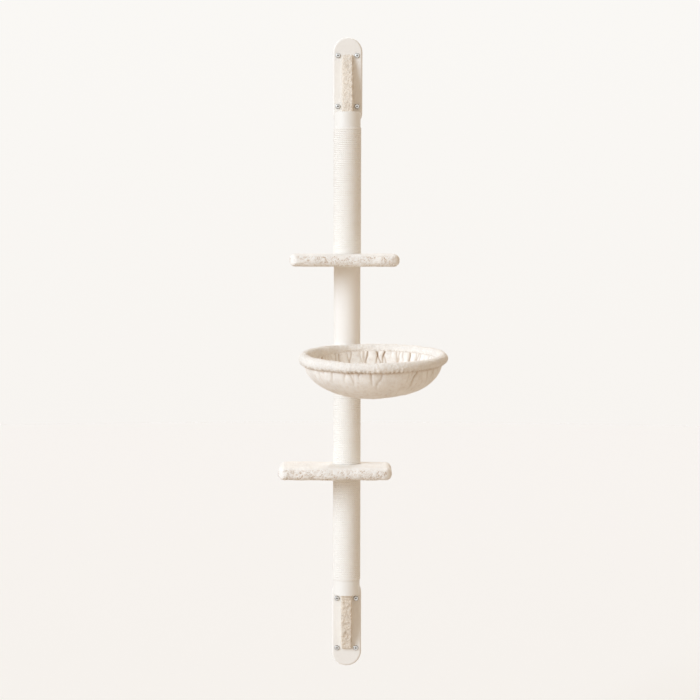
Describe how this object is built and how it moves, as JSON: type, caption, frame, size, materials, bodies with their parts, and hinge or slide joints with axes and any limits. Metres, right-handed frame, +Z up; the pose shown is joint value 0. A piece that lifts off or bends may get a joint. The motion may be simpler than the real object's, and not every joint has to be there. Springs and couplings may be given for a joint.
{
  "type": "wall mounted cat tree",
  "caption": "Wall mounted cat climbing post with rope and cloth sections, plush platforms and a round gathered bowl hammock.",
  "frame": {"origin": "middle of the lower wall plate's screw pattern, on the wall's surface", "axes": "+Z up along the post, +Y into the wall, +X to the right as seen from the room"},
  "size_m": [0.4861, 0.5618, 1.878],
  "materials": {
    "plate_paint": "board painted smooth warm white, satin",
    "hub_paint": "turned wood painted smooth cream, satin",
    "screw_steel": "zinc plated",
    "insert_steel": "zinc plated, dull",
    "ring_steel": "powder coated light grey",
    "board": "raw chipboard",
    "plug_wood": "raw pine",
    "card_tube": "wound card",
    "sisal_rope": "off white twisted rope, close wound",
    "smooth_fabric": "smooth short napped cloth on thin foam",
    "short_plush": "short cut plush",
    "curly_plush": "curly teddy plush",
    "bowl_plush": "soft plush over padding",
    "bowl_cloth": "soft gathered plush cloth"
  },
  "bodies": {
    "post": {"bracket_rod": "insert_steel", "lower_end_hub": "hub_paint", "lower_gusset_core": "board", "lower_gusset_cover": "short_plush", "lower_gusset_screws": "screw_steel", "lower_hub_bolts": "screw_steel", "lower_hub_inserts": "insert_steel", "lower_hub_rod": "insert_steel", "lower_platform_board": "board", "lower_platform_cover": "curly_plush", "lower_platform_rod": "insert_steel", "lower_rope_wrap": "sisal_rope", "lower_tube": "card_tube", "lower_tube_inserts": "insert_steel", "lower_tube_plugs": "plug_wood", "lower_wall_plate": "plate_paint", "lower_wall_screws": "screw_steel", "middle_rope_wrap": "sisal_rope", "middle_tube": "card_tube", "middle_tube_inserts": "insert_steel", "middle_tube_plugs": "plug_wood", "smooth_sleeve": "smooth_fabric", "smooth_tube": "card_tube", "smooth_tube_inserts": "insert_steel", "smooth_tube_plugs": "plug_wood", "upper_end_hub": "hub_paint", "upper_gusset_core": "board", "upper_gusset_cover": "short_plush", "upper_gusset_screws": "screw_steel", "upper_hub_bolts": "screw_steel", "upper_hub_inserts": "insert_steel", "upper_hub_rod": "insert_steel", "upper_platform_board": "board", "upper_platform_cover": "curly_plush", "upper_platform_rod": "insert_steel", "upper_rope_wrap": "sisal_rope", "upper_tube": "card_tube", "upper_tube_inserts": "insert_steel", "upper_tube_plugs": "plug_wood", "upper_wall_plate": "plate_paint", "upper_wall_screws": "screw_steel"},
    "bowl": {"bracket_board": "board", "bracket_board_cover": "curly_plush", "tongue_screws": "screw_steel", "bowl_ring": "ring_steel", "rim_roll": "bowl_plush", "bowl_fabric": "bowl_cloth"}
  },
  "joints": [
    {"name": "bowl_swivel", "type": "hinge", "parent": "post", "child": "bowl", "pos_m": [0, -0.057, 0.829], "axis": [0, 0, 1], "range_deg": [-67, 33]}
  ]
}
